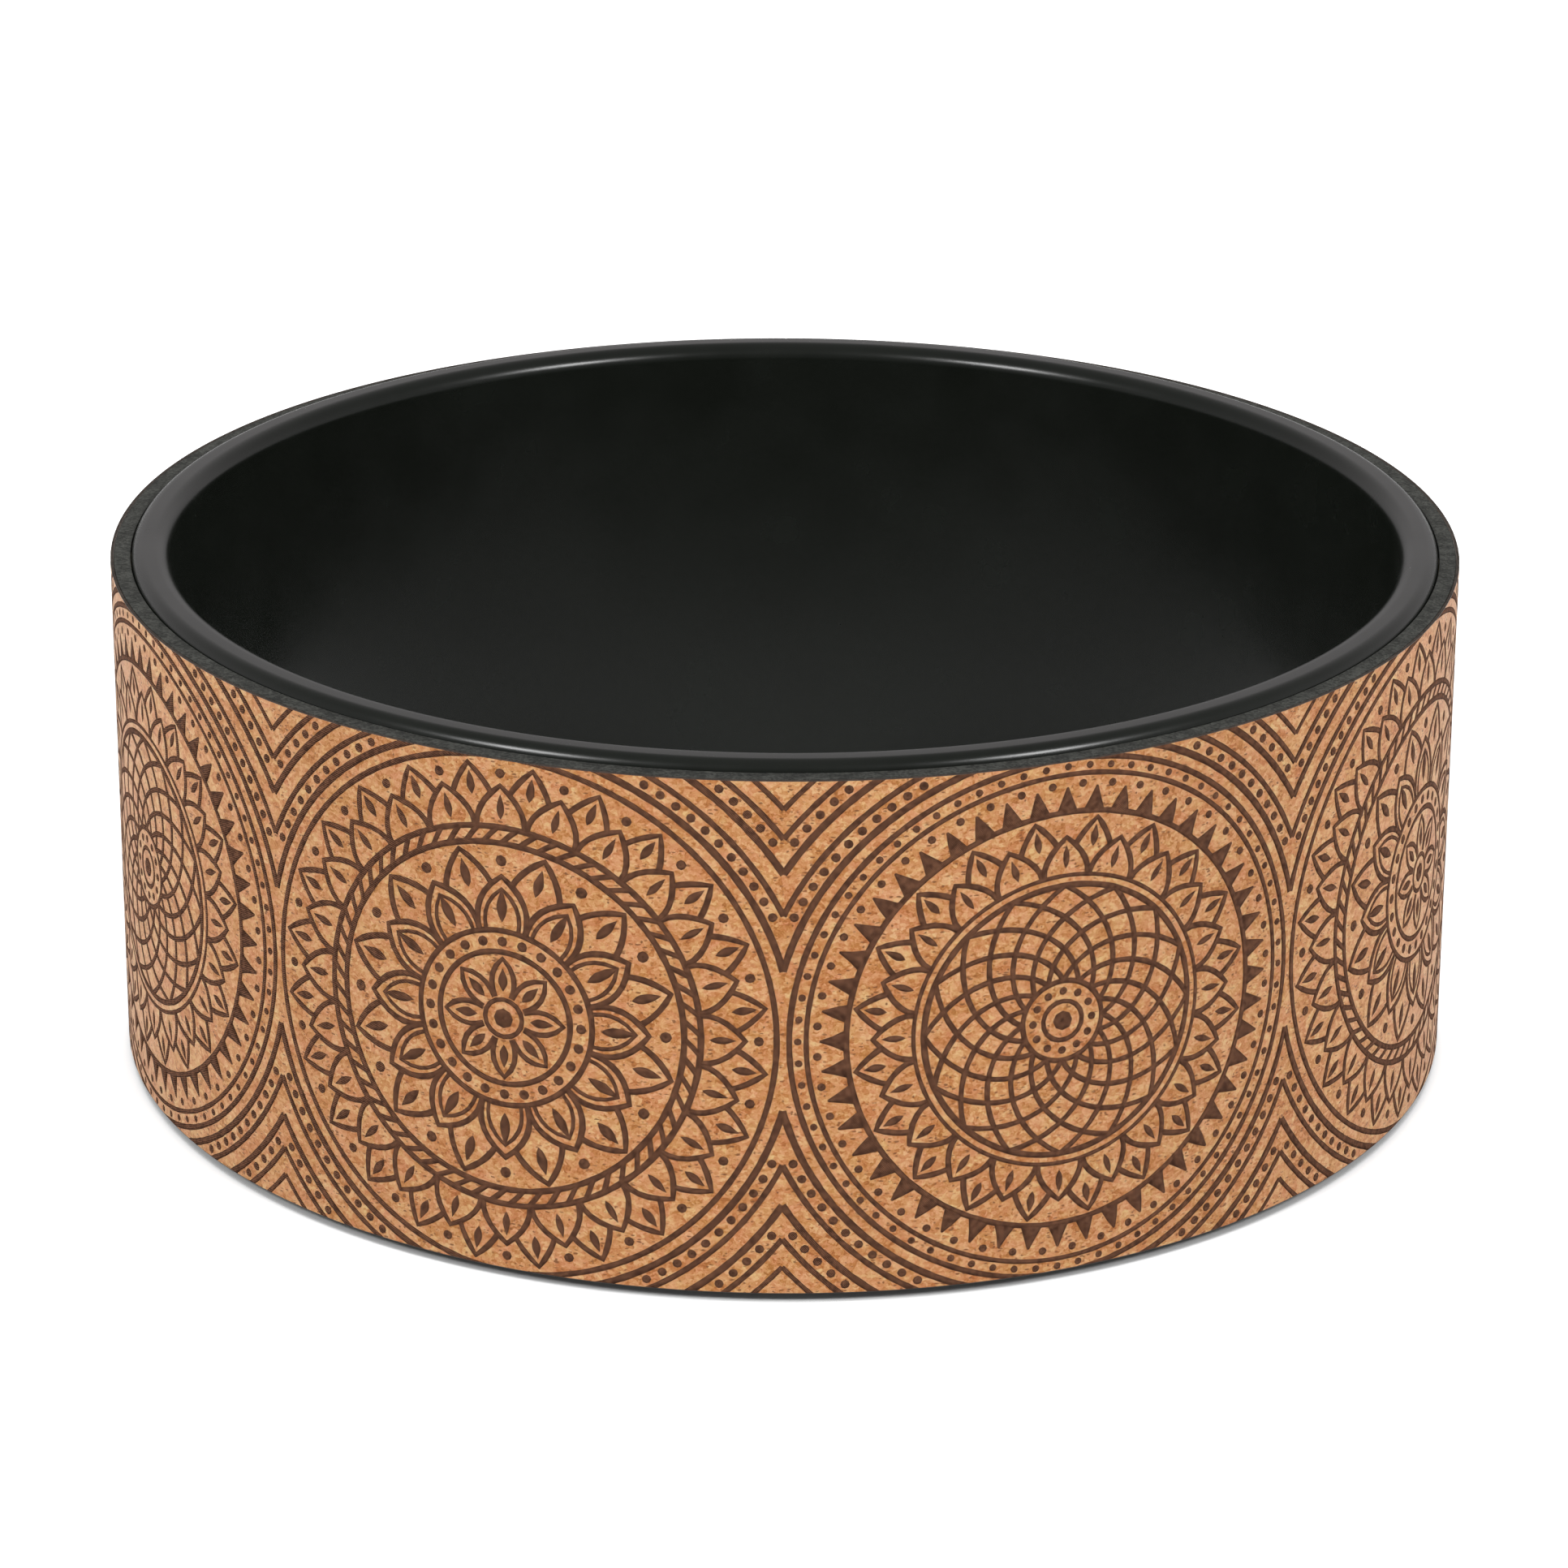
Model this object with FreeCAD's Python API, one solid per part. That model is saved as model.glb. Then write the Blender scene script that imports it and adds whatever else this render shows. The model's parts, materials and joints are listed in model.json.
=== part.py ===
# Yoga wheel lying on its side: a plastic ring wrapped in a foam strip that carries a cork skin.
# Sizes are in millimetres. The ring's axis is +Z, it rests on z = 0, and the back is +Y.
import FreeCAD
import Part
import math
import os

# Plastic core ring
core_outer_diameter = 320.0
core_wall = 9.6
wheel_width = 130.0
rim_land_width = 3.1
rim_outer_bevel = 2.0

# Padding wound round the core, in layers from the core outwards
padding_inset = 2.25
glue_thickness = 0.15
glue_margin = 1.5
foam_thickness = 4.0
cork_thickness = 0.7
seam_gap = 0.4

# Sizes that follow from the ones above
core_radius = core_outer_diameter / 2
bore_radius = core_radius - core_wall
rim_inner_round = core_wall - rim_land_width - rim_outer_bevel
foam_inside = core_radius + glue_thickness
skin_glue_inside = foam_inside + foam_thickness
cork_inside = skin_glue_inside + glue_thickness
wheel_radius = cork_inside + cork_thickness

origin = FreeCAD.Vector(0, 0, 0)
axis = FreeCAD.Vector(0, 0, 1)
back_angle = 90.0
full_turn = 360.0


def point(radius, height):
    """A point of a section through the wheel, which lies in the XZ plane."""
    return FreeCAD.Vector(radius, 0, height)


def step_towards(start, target, length):
    """The point at a given length from start, on the way to target."""
    return start + (target - start).normalize() * length


def corner_arc(start, corner, end):
    """The quarter circle from start to end that takes the place of a square corner."""
    centre = start + end - corner
    middle = centre + (corner - centre) * math.sqrt(0.5)
    return Part.Arc(start, middle, end).toShape()


def corner_bevel(start, corner, end):
    """The straight cut from start to end that takes a square corner off."""
    return Part.LineSegment(start, end).toShape()


def eased_section(corners):
    """A closed section with straight sides, from corner points with each one's size and kind of easing."""
    points = [corner for corner, size, ease in corners]
    edges = []
    last_end = step_towards(points[-1], points[0], corners[-1][1])
    for index, (corner, size, ease) in enumerate(corners):
        following = points[(index + 1) % len(points)]
        start = step_towards(corner, points[index - 1], size)
        end = step_towards(corner, following, size)
        edges.append(Part.LineSegment(last_end, start).toShape())
        edges.append(ease(start, corner, end))
        last_end = end
    return Part.Face(Part.Wire(edges))


def core_ring():
    """The one-piece ring: straight walls and, on each rim, a flat land between a rounding and a bevel."""
    corners = [
        (point(bore_radius, 0), rim_inner_round, corner_arc),
        (point(core_radius, 0), rim_outer_bevel, corner_bevel),
        (point(core_radius, wheel_width), rim_outer_bevel, corner_bevel),
        (point(bore_radius, wheel_width), rim_inner_round, corner_arc),
    ]
    return eased_section(corners).revolve(origin, axis, full_turn)


def wrapped_strip(inside, thickness, margin):
    """A strip wound once round the ring, with its two ends butted together at the back."""
    low = padding_inset + margin
    high = wheel_width - low
    outside = inside + thickness
    corners = [point(inside, low), point(outside, low), point(outside, high), point(inside, high)]
    section = Part.Face(Part.makePolygon(corners + corners[:1]))
    seam_angle = math.degrees(seam_gap / wheel_radius)
    strip = section.revolve(origin, axis, full_turn - seam_angle)
    strip.rotate(origin, axis, back_angle + seam_angle / 2)
    return strip


pieces = {
    "core_ring": core_ring(),
    "core_glue": wrapped_strip(core_radius, glue_thickness, glue_margin),
    "foam_wrap": wrapped_strip(foam_inside, foam_thickness, 0),
    "skin_glue": wrapped_strip(skin_glue_inside, glue_thickness, glue_margin),
    "cork_skin": wrapped_strip(cork_inside, cork_thickness, 0),
}

os.makedirs("parts", exist_ok=True)
for name, shape in pieces.items():
    shape.exportStep(f"parts/{name}.step")
    print(f"{name}: {shape.Volume / 1000:.1f} cm3, valid {shape.isValid()}")
print(f"wheel {2 * wheel_radius:.1f} mm across, bore radius {bore_radius:.1f} mm")
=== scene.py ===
# %% [markdown]
# # A yoga wheel with an engraved cork skin
# A yoga wheel is a wide hoop: a stiff plastic ring, a strip of foam wound round it, and a thin skin of
# cork glued on the foam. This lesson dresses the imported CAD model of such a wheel. The CAD model is the
# fixed frame: it is loaded first, nothing in it is moved, and every new piece is made in its metres and
# around its axis, which is +Z.

# %% Load the frame
import json
import math
import random

import bmesh
import bpy
from mathutils import Matrix, Vector


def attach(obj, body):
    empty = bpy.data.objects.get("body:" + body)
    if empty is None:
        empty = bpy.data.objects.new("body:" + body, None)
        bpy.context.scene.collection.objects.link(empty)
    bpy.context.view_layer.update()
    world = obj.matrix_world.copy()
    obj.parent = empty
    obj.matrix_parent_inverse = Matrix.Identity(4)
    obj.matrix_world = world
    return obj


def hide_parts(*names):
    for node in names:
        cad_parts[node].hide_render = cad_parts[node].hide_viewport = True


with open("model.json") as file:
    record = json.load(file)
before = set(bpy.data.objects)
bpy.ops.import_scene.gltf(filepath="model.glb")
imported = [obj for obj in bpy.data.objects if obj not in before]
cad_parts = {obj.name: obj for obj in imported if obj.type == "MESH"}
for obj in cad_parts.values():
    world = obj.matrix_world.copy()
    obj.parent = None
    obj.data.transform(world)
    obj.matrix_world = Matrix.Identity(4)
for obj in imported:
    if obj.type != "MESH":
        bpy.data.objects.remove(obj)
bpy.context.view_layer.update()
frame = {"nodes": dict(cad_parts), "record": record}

print("CAD nodes:", sorted(frame["nodes"]))

# %% [markdown]
# ## Sizes that the pieces share
# The record's mounts already state the bore, the outside and the planes of both rims, so they are read
# from there and not typed again. Only the layers of the padding are written here, from the cork inwards.

# %% Read the sizes
mm = 0.001
mounts = {mount["name"]: mount for mount in frame["record"]["mounts"]}
bore_radius = mounts["bore"]["dims"]["r_mm"] * mm
wheel_radius = mounts["rolling_surface"]["dims"]["r_mm"] * mm
wheel_width = mounts["upper_rim_land"]["pos_m"][2]
padding_width = mounts["rolling_surface"]["dims"]["length_mm"] * mm
padding_low = (wheel_width - padding_width) / 2
padding_high = wheel_width - padding_low
cork_thickness = 0.7 * mm
glue_thickness = 0.15 * mm
foam_thickness = 4.0 * mm
cork_inside = wheel_radius - cork_thickness
foam_outside = cork_inside - glue_thickness
foam_inside = foam_outside - foam_thickness
core_radius = foam_inside - glue_thickness
print(f"ring {core_radius / mm:.2f} mm, foam from {foam_inside / mm:.2f} to {foam_outside / mm:.2f} mm")

# %% [markdown]
# ## A helper for pieces
# A mesh that was edited as a bmesh has to become an object that rides on the frame. The same few lines do
# that for every piece, so they are one helper. It also shades the faces smoothly and gives the piece its
# material.

# %% From mesh to piece
def finished_piece(shape, name, material):
    """Turn a bmesh into a smooth-shaded object that rides on the wheel."""
    for face in shape.faces:
        face.smooth = True
    mesh = bpy.data.meshes.new(name)
    shape.to_mesh(mesh)
    shape.free()
    piece = bpy.data.objects.new(name, mesh)
    bpy.context.scene.collection.objects.link(piece)
    mesh.materials.append(material)
    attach(piece, "root")
    print(f"{name}: {len(mesh.polygons)} faces")
    return piece


print("piece helper ready")

# %% [markdown]
# ## Helpers for materials
# A material is a small graph of nodes. One helper adds a node and fills its sockets in one call: a value is
# typed in, and another node's output is linked. One makes a colour ramp, which turns a grey into a colour.
# The third starts a material and hands out the object's own coordinates, so that a grain has its real size
# and stays where it is on the piece.

# %% Nodes, ramps and materials
def add_node(tree, kind, inputs, **properties):
    """Add a node, set its properties, and fill its sockets with values or links."""
    made = tree.nodes.new(kind)
    for name, value in properties.items():
        setattr(made, name, value)
    for socket, value in inputs.items():
        if isinstance(value, bpy.types.NodeSocket):
            tree.links.new(value, made.inputs[socket])
        else:
            made.inputs[socket].default_value = value
    return made


def colour_ramp(tree, factor, stops):
    """A colour ramp with the given (position, colour) stops."""
    ramp = add_node(tree, "ShaderNodeValToRGB", {"Fac": factor})
    elements = ramp.color_ramp.elements
    while len(elements) < len(stops):
        elements.new(0.5)
    for element, (position, colour) in zip(elements, stops):
        element.position = position
        element.color = (*colour, 1.0)
    return ramp.outputs["Color"]


def blank_material(name):
    """A material with its shader, and the object's own coordinates to paint it by."""
    material = bpy.data.materials.new(name)
    material.use_nodes = True
    tree = material.node_tree
    place = tree.nodes.new("ShaderNodeTexCoord").outputs["Object"]
    return material, tree, tree.nodes["Principled BSDF"], place


print("material helpers ready")

# %% [markdown]
# ## The plastic ring's finish
# The ring is moulded in black plastic with a satin skin. Black plastic shows almost nothing of its own
# colour: what the eye reads is the blurred reflection of the room. So the colour stays close to black and
# the work goes into the roughness, which drifts a little over the surface, and into a very fine bump like
# the skin that a mould leaves. The trace of green in the black is the plastic's own.

# %% Satin plastic
deep_black = (0.0062, 0.0076, 0.0057)
pale_black = (0.0080, 0.0096, 0.0075)
flow_low = 0.3
flow_high = 0.7
smoothest = 0.23
roughest = 0.28
plastic_ior = 1.39
satin_plastic, tree, shader, place = blank_material("satin_plastic")
flow = add_node(tree, "ShaderNodeTexNoise", {"Vector": place, "Scale": 55.0, "Detail": 4.0})
skin = add_node(tree, "ShaderNodeTexNoise", {"Vector": place, "Scale": 1400.0, "Detail": 2.0})
plastic_colour = colour_ramp(tree, flow.outputs["Fac"], [(flow_low, deep_black), (flow_high, pale_black)])
plastic_roughness = add_node(
    tree, "ShaderNodeMapRange",
    {"Value": flow.outputs["Fac"], "From Min": flow_low, "From Max": flow_high,
     "To Min": smoothest, "To Max": roughest},
)
plastic_bump = add_node(
    tree, "ShaderNodeBump", {"Height": skin.outputs["Fac"], "Strength": 0.05, "Distance": 0.01 * mm}
)
tree.links.new(plastic_colour, shader.inputs["Base Color"])
tree.links.new(plastic_roughness.outputs["Result"], shader.inputs["Roughness"])
tree.links.new(plastic_bump.outputs["Normal"], shader.inputs["Normal"])
shader.inputs["IOR"].default_value = plastic_ior
print(f"satin plastic ready, roughness {smoothest} to {roughest}")

# %% [markdown]
# ## The plastic ring
# A lathe shape could be a curve with a screw modifier, or a profile typed point by point. Here four corner
# points of the wall's section are spun once round the axis, and then the rims are eased with bevels: a
# large one inside, where a hand grips, and a smaller one outside against the foam. Between them each rim
# keeps a flat land to lie on. A weighted normal modifier keeps the tall walls and the land flat in the
# light, so that only the bevels bend the reflections.

# %% Spin and bevel the ring
rim_inner_round = 4.0 * mm
rim_outer_round = 3.2 * mm
round_segments = 10
ring_steps = 360
full_turn = 2 * math.pi
same_place = 0.05 * mm
merge_distance = 0.001 * mm
large_faces_lead = 100


def section_loop(shape, inside, outside, low, high):
    """Four points and four edges of a wall's section, in the XZ plane."""
    corners = [(inside, low), (outside, low), (outside, high), (inside, high)]
    points = [shape.verts.new((radius, 0, height)) for radius, height in corners]
    edges = [shape.edges.new((points[i - 1], points[i])) for i in range(4)]
    return points, edges


def rim_edges(shape, radius):
    """The edges that run round both rims at the given radius."""
    def on_rim(point):
        return abs(point.co.xy.length - radius) < same_place
    return [edge for edge in shape.edges
            if all(on_rim(point) for point in edge.verts)
            and abs(edge.verts[0].co.z - edge.verts[1].co.z) < same_place]


def keep_flats_flat(piece):
    """Let the large faces decide the shading at every shared edge."""
    piece.modifiers.new("flat_walls", "WEIGHTED_NORMAL").weight = large_faces_lead


ring = bmesh.new()
points, edges = section_loop(ring, bore_radius, core_radius, 0.0, wheel_width)
bmesh.ops.spin(ring, geom=points + edges, cent=(0, 0, 0), axis=(0, 0, 1), angle=full_turn,
               steps=ring_steps, use_merge=True)
bmesh.ops.remove_doubles(ring, verts=ring.verts, dist=merge_distance)
bmesh.ops.recalc_face_normals(ring, faces=ring.faces)
for radius, size in ((bore_radius, rim_inner_round), (core_radius, rim_outer_round)):
    bmesh.ops.bevel(ring, geom=rim_edges(ring, radius), offset=size, affect="EDGES",
                    segments=round_segments, profile=0.5, material=-1)
plastic_ring = finished_piece(ring, "plastic_ring", satin_plastic)
keep_flats_flat(plastic_ring)
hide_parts("core_ring")

# %% [markdown]
# ## The foam's finish
# Closed-cell foam that was cut with a blade shows its cells: tiny pits of about half a millimetre, some
# darker than others, on a dull grey-green ground. A cell texture gives every pit its own grey and a hollow
# in the bump, and a noise makes larger patches, so that the cut doesn't look like a printed dot screen.

# %% Cut foam
foam_deep = (0.0236, 0.0242, 0.0219)
foam_middle = (0.0419, 0.0428, 0.0383)
foam_pale = (0.0725, 0.0744, 0.0667)
patch_share = 0.65
cut_foam, tree, shader, place = blank_material("cut_foam")


def cell_tone(tree, place, scale):
    """Two random greys for each cell of a cell texture, and the distance from the cell's middle."""
    cells = add_node(tree, "ShaderNodeTexVoronoi", {"Vector": place, "Scale": scale})
    tone = add_node(tree, "ShaderNodeSeparateColor", {"Color": cells.outputs["Color"]})
    return tone.outputs["Red"], tone.outputs["Green"], cells.outputs["Distance"]


def mixed(tree, share, first, second):
    """A grey that holds the given share of the second grey."""
    mix = add_node(tree, "ShaderNodeMix", {"Factor": share, 2: first, 3: second}, data_type="FLOAT")
    return mix.outputs[0]


pit_tone, _, pit_reach = cell_tone(tree, place, scale=1900.0)
patches = add_node(tree, "ShaderNodeTexNoise", {"Vector": place, "Scale": 300.0, "Detail": 5.0})
foam_tone = mixed(tree, patch_share, pit_tone, patches.outputs["Fac"])
foam_colour = colour_ramp(tree, foam_tone, [(0.3, foam_deep), (0.5, foam_middle), (0.7, foam_pale)])
foam_bump = add_node(
    tree, "ShaderNodeBump", {"Height": pit_reach, "Strength": 0.6, "Distance": 0.15 * mm}
)
tree.links.new(foam_colour, shader.inputs["Base Color"])
tree.links.new(foam_bump.outputs["Normal"], shader.inputs["Normal"])
shader.inputs["Roughness"].default_value = 0.92
shader.inputs["Specular IOR Level"].default_value = 0.25
print("cut foam ready")

# %% [markdown]
# ## The foam strip
# The foam is a flat strip with square-cut edges, wound once round the ring, and its two ends meet at the
# back. A full spin would hide that seam, so the section is filled as a face and spun a hair less than a
# full turn: that gives a closed solid with two end faces. Its edges get a very small bevel, because soft
# foam never keeps a knife edge.

# %% Wind the foam
seam_gap = 0.4 * mm
seam_angle = seam_gap / wheel_radius
strip_steps = 480
square_corner = math.radians(60)
ease_segments = 2
foam_ease = 0.12 * mm


def wound_strip(inside, outside, ease):
    """A strip wound once round the ring between two radii, with its ends butted at the back."""
    strip = bmesh.new()
    points, edges = section_loop(strip, inside, outside, padding_low, padding_high)
    section = strip.faces.new(points)
    bmesh.ops.rotate(strip, verts=points, matrix=Matrix.Rotation((math.pi + seam_angle) / 2, 3, "Z"))
    bmesh.ops.spin(strip, geom=points + edges + [section], cent=(0, 0, 0), axis=(0, 0, 1),
                   angle=full_turn - seam_angle, steps=strip_steps, use_merge=False)
    bmesh.ops.recalc_face_normals(strip, faces=strip.faces)
    square = [edge for edge in strip.edges if edge.calc_face_angle(0.0) > square_corner]
    bmesh.ops.bevel(strip, geom=square, offset=ease, affect="EDGES", segments=ease_segments,
                    profile=0.5, material=-1)
    return strip


foam_strip = finished_piece(
    wound_strip(foam_inside, foam_outside, foam_ease), "foam_strip", cut_foam
)
keep_flats_flat(foam_strip)
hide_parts("foam_wrap")

# %% [markdown]
# ## The cork's granules
# Agglomerated cork is made of granules, one to four millimetres across, pressed into a block and sliced.
# Each granule has its own tone and is built of smaller crumbs, which lie a little flattened in the block.
# Two cell textures of different size give the granules and the crumbs a grey each, a noise bends their
# outlines so that they don't look like tiles, and another noise grains them.

# %% Granules, crumbs and grain
flattening = (1.0, 1.0, 1.35)
grain_share = 0.66
granule_share = 0.17
sliced_cork, tree, shader, place = blank_material("sliced_cork")


def stretched(tree, place, factors):
    """The place with each axis multiplied, which squeezes what is drawn by it."""
    scaled = add_node(tree, "ShaderNodeVectorMath", {0: place, 1: factors}, operation="MULTIPLY")
    return scaled.outputs["Vector"]


def bent(tree, place, scale, reach):
    """The place, pushed about by a noise, so that cells get ragged outlines."""
    push = add_node(tree, "ShaderNodeTexNoise", {"Vector": place, "Scale": scale, "Detail": 3.0})
    centred = add_node(
        tree, "ShaderNodeVectorMath", {0: push.outputs["Color"], 1: (0.5, 0.5, 0.5)}, operation="SUBTRACT"
    )
    step = add_node(
        tree, "ShaderNodeVectorMath", {0: centred.outputs["Vector"], "Scale": reach}, operation="SCALE"
    )
    moved = add_node(tree, "ShaderNodeVectorMath", {0: place, 1: step.outputs["Vector"]}, operation="ADD")
    return moved.outputs["Vector"]


ragged = bent(tree, place, scale=700.0, reach=1.6 * mm)
flaky = stretched(tree, ragged, flattening)
granule_tone, granule_hue, _ = cell_tone(tree, ragged, scale=330.0)
crumb_tone, crumb_hue, _ = cell_tone(tree, flaky, scale=1050.0)
grain_noise = add_node(
    tree, "ShaderNodeTexNoise", {"Vector": flaky, "Scale": 2400.0, "Detail": 4.0, "Roughness": 0.6}
)
grain = grain_noise.outputs["Fac"]
cork_tone = mixed(tree, granule_share, mixed(tree, grain_share, crumb_tone, grain), granule_tone)
print("granules, crumbs and grain ready")

# %% [markdown]
# ## The cork's colours
# The greys were mixed first and are coloured now, by one ramp, because dark cork is also redder and pale
# cork yellower: darkening one tan would turn it grey. Each granule and crumb also leans a little to pink or
# to yellow, by a second random grey of its cell, and a slow drift of the same kind keeps large plain areas
# alive.

# %% Tan, pink and yellow
cork_tans = [
    (0.25, (0.31, 0.093, 0.008)),
    (0.352, (0.475, 0.183, 0.038)),
    (0.5, (0.580, 0.277, 0.102)),
    (0.648, (0.662, 0.386, 0.172)),
    (0.75, (0.700, 0.485, 0.230)),
]
drift_leans = [(0.38, (1.0, 0.95, 1.0)), (0.62, (1.0, 1.0, 0.96))]
cell_leans = [(0.15, (1.0, 0.91, 0.955)), (0.85, (1.0, 1.07, 1.03))]


def tinted(tree, factor, under, over, blend="MIX"):
    """One colour laid over another."""
    laid = add_node(
        tree, "ShaderNodeMix", {"Factor": factor, 6: under, 7: over}, data_type="RGBA", blend_type=blend
    )
    return laid.outputs[2]


cork_tan = colour_ramp(tree, cork_tone, cork_tans)
drift = add_node(tree, "ShaderNodeTexNoise", {"Vector": place, "Scale": 170.0, "Detail": 2.0})
drift_shade = colour_ramp(tree, drift.outputs["Fac"], drift_leans)
cork_tan = tinted(tree, 1.0, cork_tan, drift_shade, "MULTIPLY")
cell_shade = colour_ramp(tree, mixed(tree, 0.5, granule_hue, crumb_hue), cell_leans)
cork_tan = tinted(tree, 1.0, cork_tan, cell_shade, "MULTIPLY")
print(f"cork coloured by a ramp of {len(cork_tans)} tans")

# %% [markdown]
# ## The cork's cracks and pits
# Where granules meet, short cracks and pits stay open, in clusters. They are cells again: only those with a
# high random grey become a hollow, and a squeezed space makes the cracks longer than high. Their dark brown
# is partly the cork's own colour and partly painted shade in the hollow.

# %% Hollows
crack_squeeze = (1.0, 1.0, 2.6)
hollow_brown_and_shade = (0.20, 0.063, 0.010, 1.0)
hollow_cover = 0.9


def band(tree, value, low, high):
    """A smooth step from 0 at one value to 1 at another."""
    step = add_node(
        tree, "ShaderNodeMapRange", {"Value": value, "From Min": low, "From Max": high},
        interpolation_type="SMOOTHSTEP",
    )
    return step.outputs["Result"]


def calculated(tree, operation, first, second):
    """The result of a sum, a product or another operation on two numbers."""
    return add_node(tree, "ShaderNodeMath", {0: first, 1: second}, operation=operation).outputs["Value"]


def product(tree, first, second):
    """Two numbers multiplied, which keeps what both let through."""
    return calculated(tree, "MULTIPLY", first, second)


clusters = add_node(tree, "ShaderNodeTexNoise", {"Vector": place, "Scale": 260.0, "Detail": 2.0})
clustered = band(tree, clusters.outputs["Fac"], 0.42, 0.55)
squeezed = bent(tree, stretched(tree, place, crack_squeeze), scale=900.0, reach=1.4 * mm)
dash_tone, _, dash_reach = cell_tone(tree, squeezed, scale=620.0)
chosen_dash = product(tree, band(tree, dash_tone, 0.68, 0.72), clustered)
crack = product(tree, band(tree, dash_reach, 0.40, 0.30), chosen_dash)
speckled = bent(tree, place, scale=1800.0, reach=0.5 * mm)
speck_tone, _, speck_reach = cell_tone(tree, speckled, scale=950.0)
chosen_speck = product(tree, band(tree, speck_tone, 0.82, 0.86), clustered)
pit = product(tree, band(tree, speck_reach, 0.34, 0.22), chosen_speck)
hollow = calculated(tree, "MAXIMUM", pit, crack)
# The hollows get a dark brown that is partly the cork's own and partly painted shade.
cork_tan = tinted(tree, product(tree, hollow, hollow_cover), cork_tan, hollow_brown_and_shade)
print("cracks and pits ready")

# %% [markdown]
# ## The cork's edges and dust
# The hollows are darker in the colour, partly as painted shade, and lower in the bump, so both agree. The
# beam that cuts the skin to width chars its two long edges, so a narrow dark line runs along them. Cork is
# dusty and stays bright where it turns away: a rough diffuse part keeps its sides lit, and a little sheen
# makes them paler still.

# %% Edges, bump and sheen
edge_burn = 0.2 * mm
edge_brown = (0.05, 0.036, 0.029, 1.0)
axes = add_node(tree, "ShaderNodeSeparateXYZ", {"Vector": place})
between_edges = add_node(
    tree, "ShaderNodeMath", {0: axes.outputs["Z"], 1: wheel_width / 2, 2: padding_width / 2 - edge_burn},
    operation="COMPARE",
)
cork_tan = tinted(tree, between_edges.outputs["Value"], edge_brown, cork_tan)
cork_height = calculated(tree, "SUBTRACT", grain, hollow)
cork_bump = add_node(
    tree, "ShaderNodeBump", {"Height": cork_height, "Strength": 0.22, "Distance": 0.12 * mm}
)
tree.links.new(cork_tan, shader.inputs["Base Color"])
tree.links.new(cork_bump.outputs["Normal"], shader.inputs["Normal"])
shader.inputs["Roughness"].default_value = 0.7
shader.inputs["Diffuse Roughness"].default_value = 0.7
shader.inputs["Specular IOR Level"].default_value = 0.4
shader.inputs["Sheen Weight"].default_value = 0.38
shader.inputs["Sheen Roughness"].default_value = 0.45
print("sliced cork ready")

# %% [markdown]
# ## The burnt cork's finish
# A laser draws on cork by burning it, row by row, so a line is dark brown with fine slanting rows where
# the beam passed, and the granules still show a little through the scorch. The edges that it cut are burnt
# in the same way, only deeper, so one recipe takes the browns and makes both finishes.

# %% Burnt cork
row_share = 0.3


def burnt_finish(name, deepest, middle, palest):
    """Cork burnt by a beam, in three browns."""
    material, tree, shader, place = blank_material(name)
    scorch = add_node(tree, "ShaderNodeTexNoise", {"Vector": place, "Scale": 800.0, "Detail": 5.0})
    beam_rows = add_node(
        tree, "ShaderNodeTexWave", {"Vector": place, "Scale": 1300.0, "Distortion": 2.5, "Detail": 1.0},
        bands_direction="DIAGONAL",
    )
    burn = mixed(tree, row_share, scorch.outputs["Fac"], beam_rows.outputs["Fac"])
    brown = colour_ramp(tree, burn, [(0.39, deepest), (0.5, middle), (0.61, palest)])
    bump = add_node(tree, "ShaderNodeBump", {"Height": burn, "Strength": 0.4, "Distance": 0.1 * mm})
    tree.links.new(brown, shader.inputs["Base Color"])
    tree.links.new(bump.outputs["Normal"], shader.inputs["Normal"])
    shader.inputs["Roughness"].default_value = 0.9
    shader.inputs["Diffuse Roughness"].default_value = 0.7
    shader.inputs["Specular IOR Level"].default_value = 0.15
    print(name, "ready")
    return material


burnt_cork = burnt_finish(
    "burnt_cork", (0.047, 0.019, 0.010), (0.099, 0.042, 0.023), (0.204, 0.092, 0.050)
)
burnt_edge = burnt_finish(
    "burnt_edge", (0.024, 0.019, 0.016), (0.042, 0.034, 0.029), (0.076, 0.060, 0.050)
)

# %% [markdown]
# ## The cork skin
# The skin is the same kind of strip as the foam, only thinner and harder, so the same helper winds it. It
# is glued flush with the foam's edges, and its ends meet at the foam's seam. The faces that look up or down
# are where it was cut to width. They get the burnt edge as a second material, because the sheen of the
# sliced cork would show there as a pale line.

# %% Wind the cork
cork_ease = 0.1 * mm
looks_up_or_down = 0.7
cork_cover = finished_piece(
    wound_strip(cork_inside, wheel_radius, cork_ease), "cork_cover", sliced_cork
)
cork_cover.data.materials.append(burnt_edge)
for face in cork_cover.data.polygons:
    face.material_index = int(abs(face.normal.z) > looks_up_or_down)
keep_flats_flat(cork_cover)
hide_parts("cork_skin")

# %% [markdown]
# ## Drawing on a flat page
# The ornament is easiest to draw flat, as the skin lay under the laser, and to wind on the wheel
# afterwards. A page is a list of strokes. A stroke is a row of points with a width at each point, so a
# stroke can be an even line, a pointed leaf or a wedge. On the page, x runs along the skin with 0 at the
# front, and y is the height. Everything is made from circles, petals and straight runs by formula. A burnt
# line is never quite even, because the granules char at their own pace, so every width is changed by a few
# hundredths, always the same ones, because the generator starts from a fixed seed.

# %% Strokes, rings and dots
page_length = full_turn * wheel_radius
curve_step = 1.8 * mm
fewest_sides = 8
thinnest = 0.91
thickest = 1.09
char = random.Random(7)


def stroke(page, points, width, closed=False):
    """A line along the points, as wide as one width or as one width for each point."""
    widths = width if isinstance(width, list) else [width] * len(points)
    page.append((points, [each * char.uniform(thinnest, thickest) for each in widths], closed))


def around(centre, radius, angle):
    """The point at a radius and an angle from the top, on the page."""
    return centre[0] + radius * math.sin(angle), centre[1] + radius * math.cos(angle)


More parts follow.
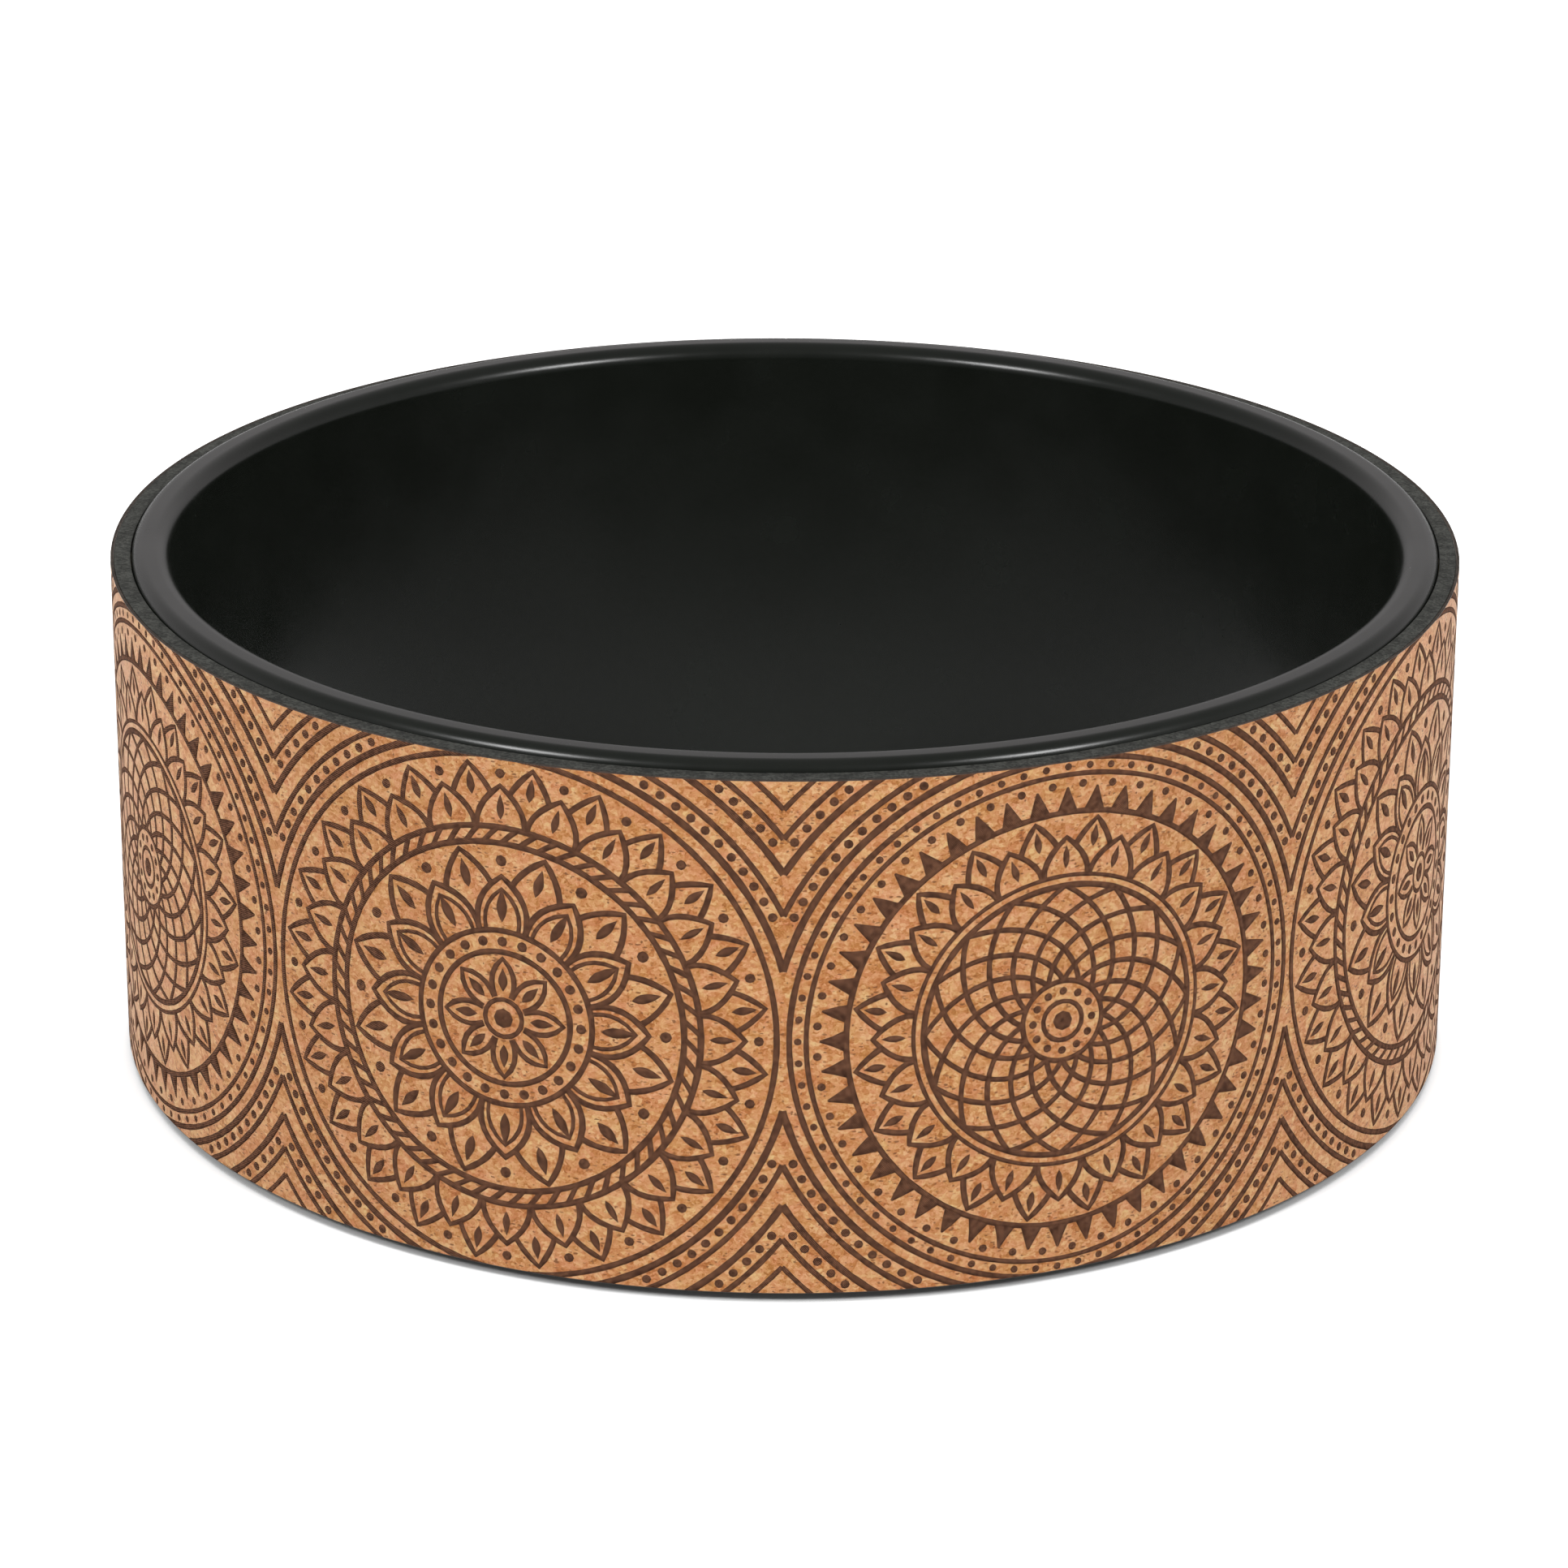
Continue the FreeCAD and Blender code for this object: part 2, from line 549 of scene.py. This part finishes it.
def ring_line(page, centre, radius, width):
    """A circle, in steps short enough to look round."""
    steps = max(fewest_sides, round(full_turn * radius / curve_step))
    stroke(page, [around(centre, radius, full_turn * i / steps) for i in range(steps)], width, True)


def dot(page, centre, radius):
    """A round spot: a ring so small that its line fills it."""
    turns = [full_turn * i / fewest_sides for i in range(fewest_sides)]
    stroke(page, [around(centre, radius / 2, turn) for turn in turns], radius, True)


def bead_row(page, centre, count, radius, size, shift=0.0):
    """A ring of dots. A shift of 0.5 turns it by half a step."""
    for i in range(count):
        dot(page, around(centre, radius, full_turn * (i + shift) / count), size)


print(f"page {page_length / mm:.0f} mm long")

# %% [markdown]
# ## Leaves, petals and rays
# A solid leaf is one stroke that swells and narrows again. A petal is an outline: its two sides start apart
# at the root and close in to a point, and the fullness says how long they stay apart. Where a nearer row
# hides the roots, a petal's line starts farther out. Rays are short strokes that taper outwards.

# %% Rows of leaves, petals and rays
leaf_parts = 6
leaf_tip = 0.06
leaf_lean = 0.85
fewest_petal_steps = 4
ray_taper = (1.0, 0.55, 0.1)


def leaf(page, start, end, width):
    """A solid pointed leaf from start to end, widest a little before its middle."""
    points, widths = [], []
    for i in range(leaf_parts + 1):
        along = i / leaf_parts
        points.append((start[0] + (end[0] - start[0]) * along, start[1] + (end[1] - start[1]) * along))
        widths.append(width * max(leaf_tip, math.sin(math.pi * along ** leaf_lean)))
    stroke(page, points, widths)


def leaf_row(page, centre, count, inner, outer, width, shift=0.0):
    """A ring of solid leaves."""
    for i in range(count):
        angle = full_turn * (i + shift) / count
        leaf(page, around(centre, inner, angle), around(centre, outer, angle), width)


def petal_row(page, centre, count, inner, outer, width, fullness, shift=0.0, start=0.0, fill=1.0):
    """A ring of pointed petals drawn as outlines, from a share of their length on."""
    steps = max(fewest_petal_steps, round((1 - start) * (outer - inner) / curve_step))
    half_angle = fill * math.pi / count
    for i in range(count):
        middle = full_turn * (i + shift) / count
        sides = {}
        for side in (-1, 1):
            sides[side] = []
            for k in range(steps + 1):
                along = start + (1 - start) * k / steps
                turn = middle + side * half_angle * (1 - along ** fullness)
                sides[side].append(around(centre, inner + (outer - inner) * along, turn))
        stroke(page, sides[-1] + sides[1][-2::-1], width)


def wedge_row(page, centre, count, inner, outer, width):
    """A ring of solid rays that taper outwards."""
    middle = (inner + outer) / 2
    for i in range(count):
        angle = full_turn * i / count
        points = [around(centre, radius, angle) for radius in (inner, middle, outer)]
        stroke(page, points, [width * share for share in ray_taper])


print("leaves, petals and rays ready")

# %% [markdown]
# ## Swirls and ropes
# Spokes that bend to one side, crossed by as many that bend to the other, make a net of curved diamonds. A
# row of short slanting strokes between two rings looks like the lay of a rope.

# %% Rows of bent spokes and rope
def swirl_net(page, centre, count, inner, outer, sweep, width):
    """Two sets of bent spokes that cross each other like the seeds of a sunflower."""
    steps = round((outer - inner) / curve_step)
    for hand in (-1, 1):
        for i in range(count):
            points = []
            for k in range(steps + 1):
                along = k / steps
                turn = full_turn * i / count + hand * sweep * along
                points.append(around(centre, inner + (outer - inner) * along, turn))
            stroke(page, points, width)


def rope_row(page, centre, count, inner, outer, slant, width):
    """A ring of short slanting strokes, like the lay of a rope."""
    for i in range(count):
        points = []
        for along in (0.0, 0.5, 1.0):
            turn = full_turn * i / count + slant * along
            points.append(around(centre, inner + (outer - inner) * along, turn))
        stroke(page, points, width)


print("swirls and ropes ready")

# %% [markdown]
# ## Double rows of petals
# A row of petals looks richer with a second row that shows between its tips. Where the sides of both rows
# cross, the farther petal goes behind the nearer one. A formula finds that place and the farther line
# starts there, so nothing has to be wiped out. Each petal holds a solid leaf.

# %% Double rows
near_leaf = (0.16, 0.78, 0.19)
far_leaf = (-0.1, 0.72, 0.3)


def hidden_part(front_reach, back_reach, fullness, fill):
    """How much of a farther petal's side is hidden, from its root, by the nearer petals beside it."""
    ratio = (front_reach / back_reach) ** fullness
    return (fill / (1 + fill / ratio)) ** (1 / fullness)


def petal_leaves(page, centre, count, low, high, shares, shift):
    """A solid leaf in each petal. Its root, tip and width are shares of the height that shows."""
    root, tip, width = [share * (high - low) for share in shares]
    leaf_row(page, centre, count, low + root, low + tip, width, shift)


def double_petals(page, centre, count, inner, front, back, width, fullness, fill):
    """A row of petals and a farther row that shows between their tips, each with a solid leaf in it."""
    petal_row(page, centre, count, inner, front, width, fullness, fill=fill)
    start = hidden_part(front - inner, back - inner, fullness, fill)
    petal_row(page, centre, count, inner, back, width, fullness, shift=0.5, start=start)
    petal_leaves(page, centre, count, inner, front, near_leaf, 0.0)
    petal_leaves(page, centre, count, inner + start * (back - inner), back, far_leaf, 0.5)


print("double rows ready")

# %% [markdown]
# ## Two kinds of rosette
# A rosette is a few rings, and between two rings is one row of petals, beads, rays or rope. It is drawn
# from the middle outwards: first the number of motifs in a row, then its radii, then the width of its line.
# Two kinds are enough, because they look different enough to take turns.

# %% Rosettes
def petal_rosette(page, centre):
    """A flower in the middle, two double rows of petals, and a rope between them."""
    dot(page, centre, 2.4 * mm)
    ring_line(page, centre, 4.6 * mm, 1.2 * mm)
    petal_row(page, centre, 8, 5.4 * mm, 14.6 * mm, 1.3 * mm, fullness=2.0, fill=0.94)
    leaf_row(page, centre, 8, 6.6 * mm, 12.2 * mm, 2.2 * mm)
    ring_line(page, centre, 16.2 * mm, 1.4 * mm)
    bead_row(page, centre, 24, 18.8 * mm, 1.25 * mm)
    ring_line(page, centre, 21.4 * mm, 1.4 * mm)
    double_petals(page, centre, 12, 21.4 * mm, 34.6 * mm, 41.0 * mm, 1.5 * mm, fullness=2.2, fill=1.0)
    petal_row(page, centre, 12, 22.0 * mm, 31.6 * mm, 1.0 * mm, fullness=2.2, fill=0.70)
    bead_row(page, centre, 12, 38.4 * mm, 1.4 * mm)
    ring_line(page, centre, 42.6 * mm, 1.5 * mm)
    rope_row(page, centre, 60, 42.6 * mm, 46.4 * mm, slant=math.radians(5), width=1.3 * mm)
    ring_line(page, centre, 46.4 * mm, 1.5 * mm)
    double_petals(page, centre, 24, 46.8 * mm, 56.4 * mm, 61.4 * mm, 1.4 * mm, fullness=1.8, fill=0.96)
    bead_row(page, centre, 24, 59.4 * mm, 1.2 * mm)
    ring_line(page, centre, 63.4 * mm, 1.4 * mm)


def swirl_rosette(page, centre):
    """A net of bent spokes, a double row of petals, and a row of rays."""
    dot(page, centre, 2.4 * mm)
    ring_line(page, centre, 4.8 * mm, 1.2 * mm)
    bead_row(page, centre, 12, 7.3 * mm, 1.0 * mm)
    ring_line(page, centre, 9.8 * mm, 1.3 * mm)
    swirl_net(page, centre, 16, 9.8 * mm, 33.0 * mm, sweep=math.radians(67.5), width=1.3 * mm)
    ring_line(page, centre, 33.0 * mm, 1.5 * mm)
    ring_line(page, centre, 35.4 * mm, 1.0 * mm)
    double_petals(page, centre, 20, 35.8 * mm, 44.6 * mm, 49.0 * mm, 1.4 * mm, fullness=1.7, fill=0.96)
    ring_line(page, centre, 50.6 * mm, 1.4 * mm)
    wedge_row(page, centre, 48, 51.0 * mm, 56.6 * mm, 4.8 * mm)
    bead_row(page, centre, 48, 57.2 * mm, 1.0 * mm, shift=0.5)
    ring_line(page, centre, 59.6 * mm, 1.2 * mm)
    ring_line(page, centre, 63.4 * mm, 1.4 * mm)
    bead_row(page, centre, 72, 61.5 * mm, 0.9 * mm)


print("two kinds of rosette ready")

# %% [markdown]
# ## The arches between them
# Rings that go on outside a rosette meet those of its neighbour and make a nest of pointed arches, which
# fills the space between the rosettes. Only the part of a ring between the skin's edge and the neighbour is
# drawn, once in each corner of the rosette. Lines run past the edge and are trimmed later. Rows of beads
# keep clear of the edge and of each other.

# %% Arches
rosette_count = 8
rosette_pitch = page_length / rosette_count
arch_lines_mm = ((67.0, 1.7), (71.6, 1.4), (76.4, 1.7), (81.2, 1.4), (85.6, 1.2))
arch_beads_mm = (69.3, 78.8)
line_overrun = 3.0 * mm
fewest_arch_steps = 3
bead_spacing = 4.4 * mm
bead_size = 1.1 * mm
bead_inset = 2.2 * mm
bead_gap = 2.4 * mm


def arch_span(radius, overrun, gap):
    """The angles from the top between which a ring lies between the skin's edge and the next rosette."""
    edge = padding_width / 2 + overrun
    side = rosette_pitch / 2 - gap
    return math.acos(min(1.0, edge / radius)), math.asin(min(1.0, side / radius))


def arch_points(centre, radius, span, steps, flip_x, flip_y):
    """Points along an arch, in the corner of the rosette that the two flips choose."""
    start, end = span
    places = [around((0.0, 0.0), radius, start + (end - start) * k / steps) for k in range(steps + 1)]
    return [(centre[0] + flip_x * x, centre[1] + flip_y * y) for x, y in places]


def arch_line(page, centre, radius, width, flip_x, flip_y):
    """A line that runs past the skin's edge and meets its neighbour in a point."""
    span = arch_span(radius, line_overrun, 0.0)
    steps = max(fewest_arch_steps, round((span[1] - span[0]) * radius / curve_step))
    stroke(page, arch_points(centre, radius, span, steps, flip_x, flip_y), width)


def arch_beads(page, centre, radius, flip_x, flip_y):
    """A row of beads that keeps clear of the skin's edge and of its neighbour's row."""
    span = arch_span(radius, -bead_inset, bead_gap)
    steps = round((span[1] - span[0]) * radius / bead_spacing)
    for place in arch_points(centre, radius, span, steps, flip_x, flip_y):
        dot(page, place, bead_size)


def arches(page, centre):
    """The nest of arches in the four corners round a rosette."""
    for flip_x in (-1, 1):
        for flip_y in (-1, 1):
            for radius, width in arch_lines_mm:
                arch_line(page, centre, radius * mm, width * mm, flip_x, flip_y)
            for radius in arch_beads_mm:
                arch_beads(page, centre, radius * mm, flip_x, flip_y)


print(f"one rosette every {rosette_pitch / mm:.1f} mm")

# %% [markdown]
# ## Filling the page
# The page holds eight large rosettes, of the two kinds in turn, that touch each other, with their arches.
# Each kind of motif gets a page of its own, so that each becomes a piece of its own later.

# %% Fill the page
page_middle = wheel_width / 2
petal_page, swirl_page, arch_page = [], [], []
for i in range(rosette_count):
    middle = (rosette_pitch * (i + 0.5) - page_length / 2, page_middle)
    if i % 2:
        petal_rosette(petal_page, middle)
    else:
        swirl_rosette(swirl_page, middle)
    arches(arch_page, middle)
print("strokes:", len(petal_page), len(swirl_page), len(arch_page))

# %% [markdown]
# ## From strokes to strips
# A curve object turns each stroke into a thin strip: its bevel gives the strip a width, and the radius of
# each point widens or narrows it. The bevel is half a millimetre, so a radius of 1 makes a line of 1 mm.
# The curve is only a tool: its mesh is kept, and the curve itself is removed.

# %% Strips
half_line = 0.5 * mm


def drawn_strips(page, name):
    """A mesh of strips that follow the strokes on the page."""
    curve = bpy.data.curves.new(name, "CURVE")
    curve.dimensions = "3D"
    curve.twist_mode = "Z_UP"
    curve.bevel_depth = half_line
    curve.bevel_resolution = 0
    curve.use_fill_caps = True
    for points, widths, closed in page:
        spline = curve.splines.new("POLY")
        spline.points.add(len(points) - 1)
        for point, (x, y), width in zip(spline.points, points, widths):
            point.co = (x, y, 0.0, 1.0)
            point.radius = width / mm
        spline.use_cyclic_u = closed
    drawing = bpy.data.objects.new(name + "_drawing", curve)
    mesh = bpy.data.meshes.new_from_object(drawing)
    bpy.data.objects.remove(drawing)
    bpy.data.curves.remove(curve)
    return mesh


print(f"strips: bevel {half_line / mm} mm")

# %% [markdown]
# ## From strips to engraving
# The strips are cut at the skin's edges and closed there. The curve's own faces look outwards already, and
# the new ends may not, so only these are turned. Recalculating all would go wrong on some, because on a
# thin film inside and outside are hard to tell apart. Then the strips are pressed to a few hundredths of a
# millimetre and wound on the wheel, so that the lines are real shapes that stay sharp at any distance.

# %% Engrave the page
line_lift = 0.03 * mm
line_ridge = 0.02 * mm
level_limit = 1e-7


def trim_to_skin(lines):
    """Cut the strips at the skin's two edges and close the cut ends."""
    for height, side in ((padding_low, -1), (padding_high, 1)):
        cut = bmesh.ops.bisect_plane(lines, geom=lines.verts[:] + lines.edges[:] + lines.faces[:],
                                     plane_co=(0, height - side * edge_burn, 0), plane_no=(0, side, 0),
                                     clear_outer=True)
        trimmed = [edge for edge in cut["geom_cut"] if isinstance(edge, bmesh.types.BMEdge)]
        ends = bmesh.ops.holes_fill(lines, edges=trimmed, sides=0)["faces"]
        for end in ends:
            end.normal_update()
        bmesh.ops.reverse_faces(lines, faces=[end for end in ends if end.normal.y * side < 0])


def wind_on_wheel(lines):
    """Press the strips to a low ridge and bend the page round the wheel."""
    for point in lines.verts:
        x, y, lift = point.co
        level = (lift > level_limit) - (lift < -level_limit)
        radius = wheel_radius + (line_lift + line_ridge * level)
        angle = x / wheel_radius
        point.co = (radius * math.sin(angle), -radius * math.cos(angle), y)


def engrave(page, name):
    """Trim the page's strokes to the skin, wind them on it and make them a piece."""
    flat = drawn_strips(page, name)
    lines = bmesh.new()
    lines.from_mesh(flat)
    bpy.data.meshes.remove(flat)
    trim_to_skin(lines)
    wind_on_wheel(lines)
    finished_piece(lines, name, burnt_cork)


engrave(petal_page, "engraved_petal_rosettes")
engrave(swirl_page, "engraved_swirl_rosettes")
engrave(arch_page, "engraved_arches")

# %% [markdown]
# ## The glue
# Two layers of contact glue hold the foam on the ring and the cork on the foam. They are almost hidden, and
# the CAD nodes already have their shape, so these stay as they are and only get a finish: amber, a
# little glossy, with the drift that a brush leaves.

# %% Dried glue
dark_amber = (0.42, 0.33, 0.17)
pale_amber = (0.66, 0.56, 0.35)
dried_glue, tree, shader, place = blank_material("dried_glue")
brushing = add_node(tree, "ShaderNodeTexNoise", {"Vector": place, "Scale": 160.0, "Detail": 4.0})
glue_amber = colour_ramp(tree, brushing.outputs["Fac"], [(0.3, dark_amber), (0.7, pale_amber)])
glue_bump = add_node(
    tree, "ShaderNodeBump", {"Height": brushing.outputs["Fac"], "Strength": 0.3, "Distance": 0.05 * mm}
)
tree.links.new(glue_amber, shader.inputs["Base Color"])
tree.links.new(glue_bump.outputs["Normal"], shader.inputs["Normal"])
shader.inputs["Roughness"].default_value = 0.45
for name in ("core_glue", "skin_glue"):
    for material_slot in frame["nodes"][name].material_slots:
        material_slot.material = dried_glue
print("glue nodes dressed")

# %% [markdown]
# ## The floor's paper
# A product photo is taken on white paper. The paper is pale in its own right. Rays from the camera also get
# some light of the paper's own, more of it farther out, so that it reads as white up to the horizon, and so
# do rays from glossy surfaces, except inside the hoop, where the paper lies in shade. An ambient occlusion
# node finds where the paper is sheltered. There its light fades, but for a trace of stray light, and its
# colour is darkened to a grey, a painted contact shadow, so the dark line under the wheel stays.

# %% White paper
paper_grey = (0.87, 0.87, 0.87)
paper_white = (0.89, 0.89, 0.89)
shelter_reach = 8 * mm
stray_light = 0.04
mirrored_share = 0.2


def grey(level):
    """An opaque grey for a colour socket."""
    return (level, level, level, 1.0)


paper = bpy.data.materials.new("white_paper")
paper.use_nodes = True
tree = paper.node_tree
tree.nodes.remove(tree.nodes["Principled BSDF"])
place = tree.nodes.new("ShaderNodeTexCoord").outputs["Object"]
fibres = add_node(tree, "ShaderNodeTexNoise", {"Vector": place, "Scale": 900.0, "Detail": 3.0})
fibre_white = colour_ramp(tree, fibres.outputs["Fac"], [(0.3, paper_grey), (0.7, paper_white)])
away = add_node(tree, "ShaderNodeVectorMath", {0: place}, operation="LENGTH")
far_glow = add_node(
    tree, "ShaderNodeMapRange",
    {"Value": away.outputs["Value"], "From Min": 0.2, "From Max": 1.6, "To Min": 0.5, "To Max": 0.9},
)
shelter = add_node(tree, "ShaderNodeAmbientOcclusion", {"Distance": shelter_reach}, samples=8)
clear_of_painted_shadow = band(tree, shelter.outputs["AO"], 0.3, 0.6)
rays = tree.nodes.new("ShaderNodeLightPath")
seen = calculated(tree, "MAXIMUM", rays.outputs["Is Camera Ray"], rays.outputs["Is Transmission Ray"])
outside = band(tree, away.outputs["Value"], 0.17, 0.5)
mirrored = product(tree, rays.outputs["Is Glossy Ray"], product(tree, outside, mirrored_share))
own_light = product(tree, far_glow.outputs["Result"], calculated(tree, "MAXIMUM", clear_of_painted_shadow, stray_light))
glow_strength = product(tree, calculated(tree, "MAXIMUM", seen, mirrored), own_light)
# Where the paper is sheltered its colour falls to a grey of 0.6: a painted contact shadow.
sheet = add_node(tree, "ShaderNodeBsdfDiffuse", {"Color": tinted(tree, clear_of_painted_shadow, grey(0.6), fibre_white)})
glow = add_node(tree, "ShaderNodeEmission", {"Strength": glow_strength})
lit_sheet = add_node(tree, "ShaderNodeAddShader", {0: sheet.outputs["BSDF"], 1: glow.outputs["Emission"]})
tree.links.new(lit_sheet.outputs["Shader"], tree.nodes["Material Output"].inputs["Surface"])
print("white paper ready")

# %% [markdown]
# ## The floor
# The floor is one large flat sheet, wide enough to fill every view.

# %% Lay the floor
floor_half = 6.0
ground = bmesh.new()
bmesh.ops.create_grid(ground, x_segments=8, y_segments=8, size=floor_half)
floor_mesh = bpy.data.meshes.new("floor")
ground.to_mesh(floor_mesh)
ground.free()
floor_mesh.materials.append(paper)
floor = bpy.data.objects.new("floor", floor_mesh)
bpy.context.scene.collection.objects.link(floor)
print(f"floor {2 * floor_half:.0f} m wide")

# %% [markdown]
# ## The room
# Glossy black shows the room, so the room matters. It is dark behind the camera and pale, with a trace of
# warmth, at the far end, which gives the rim its pale band. The ceiling and the skirting below the far end
# are darker, so the roundings on both sides of that band stay black. The side walls are a little paler low
# down, which lights the cork where it turns away. The camera itself sees plain white in place of the room.

# %% World
room_depths = [
    (0.0, (0.14, 0.14, 0.14)),
    (0.2, (0.19, 0.19, 0.19)),
    (0.5, (0.50, 0.50, 0.50)),
    (0.8, (0.54, 0.513, 0.521)),
    (0.97, (0.69, 0.656, 0.666)),
]
ceiling_cover = 0.8
side_wall_cover = 0.35
skirting_cover = 0.7
scene = bpy.context.scene
scene.view_settings.view_transform = "Standard"
world = bpy.data.worlds.new("studio")
scene.world = world
world.use_nodes = True
tree = world.node_tree
heading = add_node(
    tree, "ShaderNodeSeparateXYZ", {"Vector": tree.nodes.new("ShaderNodeTexCoord").outputs["Generated"]}
)
across, along, upwards = (heading.outputs[axis] for axis in "XYZ")
depth = add_node(tree, "ShaderNodeMapRange", {"Value": along, "From Min": -1.0, "From Max": 1.0})
room = colour_ramp(tree, depth.outputs["Result"], room_depths)
ceiling = band(tree, upwards, 0.3, 0.8)
room = tinted(tree, product(tree, ceiling, ceiling_cover), room, grey(0.3))
sideways = band(tree, calculated(tree, "ABSOLUTE", across, 0.0), 0.4, 0.95)
side_wall = product(tree, sideways, band(tree, upwards, 0.45, 0.15))
room = tinted(tree, product(tree, side_wall, side_wall_cover), room, grey(0.8))
skirting = product(tree, band(tree, along, 0.75, 0.93), band(tree, upwards, 0.3, 0.05))
room = tinted(tree, product(tree, skirting, skirting_cover), room, grey(0.3))
rays = tree.nodes.new("ShaderNodeLightPath")
seen = calculated(tree, "MAXIMUM", rays.outputs["Is Camera Ray"], rays.outputs["Is Transmission Ray"])
room_or_white = tinted(tree, seen, room, grey(1.0))
tree.links.new(room_or_white, tree.nodes["Background"].inputs["Color"])
print("room ready, white for the camera")

# %% [markdown]
# ## The soft boxes
# Two soft boxes, high on the left and on the right, put a short streak on each rounding of the rim. A third
# one stands low behind the wheel and fills the shade at its back. The flat land would mirror that one as a
# glare, so glossy rays don't see it.

# %% Lamps
lamp_target = Vector((0.0, 0.0, wheel_width / 2))
lamp_distance = 3.0
lamp_size = 0.66
front_power = 47.0
back_power = 34.0


def soft_box(name, bearing, power):
    """A square lamp that stands in the given direction from the wheel and faces it."""
    light = bpy.data.lights.new(name, "AREA")
    light.shape = "SQUARE"
    light.size = lamp_size
    light.energy = power
    lamp = bpy.data.objects.new(name, light)
    towards = Vector(bearing).normalized()
    lamp.location = lamp_target + towards * lamp_distance
    lamp.rotation_euler = towards.to_track_quat("Z", "Y").to_euler()
    scene.collection.objects.link(lamp)
    print(f"{name}: {power:.0f} W, {lamp_distance:.0f} m from the wheel")
    return lamp


soft_box("left_soft_box", (-0.588, -0.523, 0.617), front_power)
soft_box("right_soft_box", (0.588, -0.523, 0.617), front_power)
back_box = soft_box("back_soft_box", (0.0, 0.94, 0.342), back_power)
back_box.visible_glossy = False

# %% [markdown]
# ## The camera
# The wheel is seen from the front and above, through a long lens. The camera's place was worked out from
# the curves of the padding's edges: a circle seen at an angle gives the height, and the change of its size
# from front to back gives the distance.

# %% Camera
view_height = math.radians(21.438)
view_roll = 0.0041
view_distance = 1.4794
view_aim = Vector((0.0, 0.0, 62.24 * mm))
camera_data = bpy.data.cameras.new("camera")
camera_data.sensor_width = 36.0
camera_data.lens = 135.85
camera = bpy.data.objects.new("camera", camera_data)
camera.location = view_aim + view_distance * Vector((0.0, -math.cos(view_height), math.sin(view_height)))
upright = Matrix.Rotation(math.pi / 2 - view_height, 4, "X")
camera.rotation_euler = (upright @ Matrix.Rotation(view_roll, 4, "Z")).to_euler()
scene.collection.objects.link(camera)
scene.camera = camera
print("camera at", tuple(round(value, 4) for value in camera.location))
